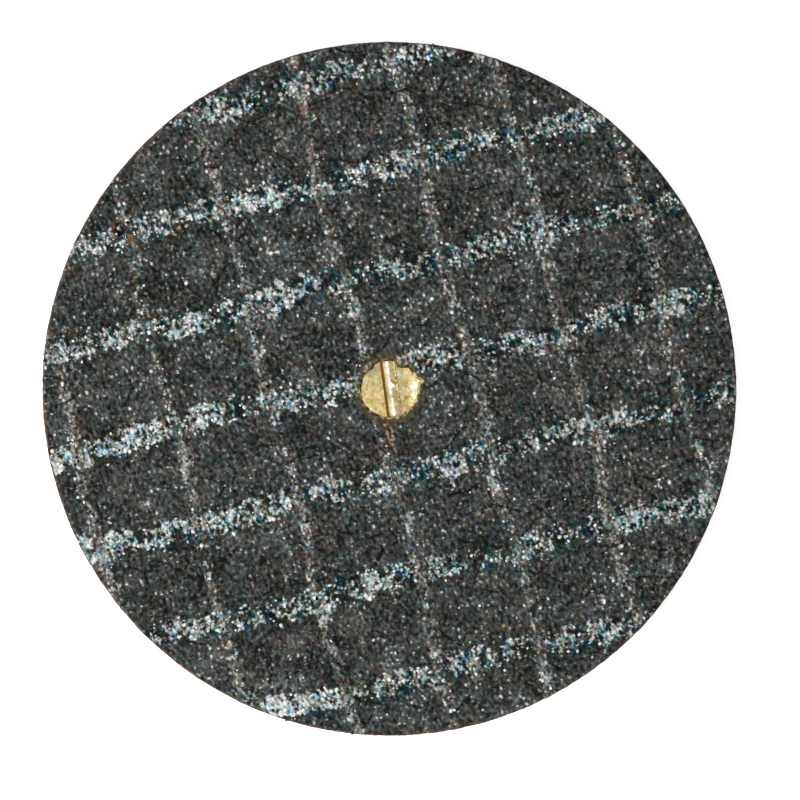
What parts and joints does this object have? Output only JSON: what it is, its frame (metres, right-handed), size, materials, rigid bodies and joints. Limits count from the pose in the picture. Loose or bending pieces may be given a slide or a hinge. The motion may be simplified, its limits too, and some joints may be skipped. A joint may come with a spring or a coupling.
{
  "type": "cut off wheel",
  "caption": "Thin round abrasive wheel reinforced with glass mesh, its arbor hole filled by a slotted brass screw; cuts metal rod and sheet at its rim.",
  "frame": {"origin": "on the wheel's axis, at the plane that its back rests on", "axes": "+Z along the wheel's axis, out of its front face; +Y is up in the picture and +X is right"},
  "size_m": [0.038, 0.038, 0.0012],
  "materials": {
    "abrasive": "matte",
    "brass": "satin"
  },
  "bodies": {
    "root": {"abrasive_wheel": "abrasive", "centre_screw": "brass"}
  },
  "joints": []
}
